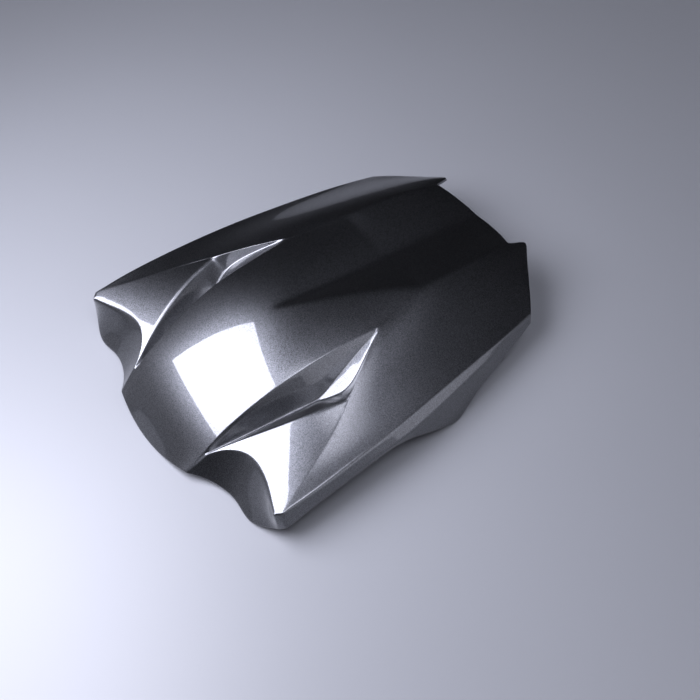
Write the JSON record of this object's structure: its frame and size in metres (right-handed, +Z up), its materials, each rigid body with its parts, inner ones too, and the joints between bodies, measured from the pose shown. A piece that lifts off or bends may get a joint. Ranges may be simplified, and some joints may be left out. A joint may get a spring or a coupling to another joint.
{
  "type": "motorcycle rear fairing",
  "caption": "Moulded cowl that covers a motorcycle's tail in place of the pillion seat: domed centre, sunken diamonds beside it, swept wings, side skirts and a notched tail.",
  "frame": {"origin": "middle of the bounding box at the level of the surface that the rim stands on", "axes": "+X across to the right-hand wing seen from behind the tail, +Y from the rider's end to the tail, +Z up"},
  "size_m": [0.2806, 0.367, 0.0732],
  "materials": {
    "shell": "dark graphite metallic paint with fine flake under a glossy clear coat; bare black plastic on the underside"
  },
  "bodies": {
    "root": {"cowl_shell": "shell"}
  },
  "joints": []
}
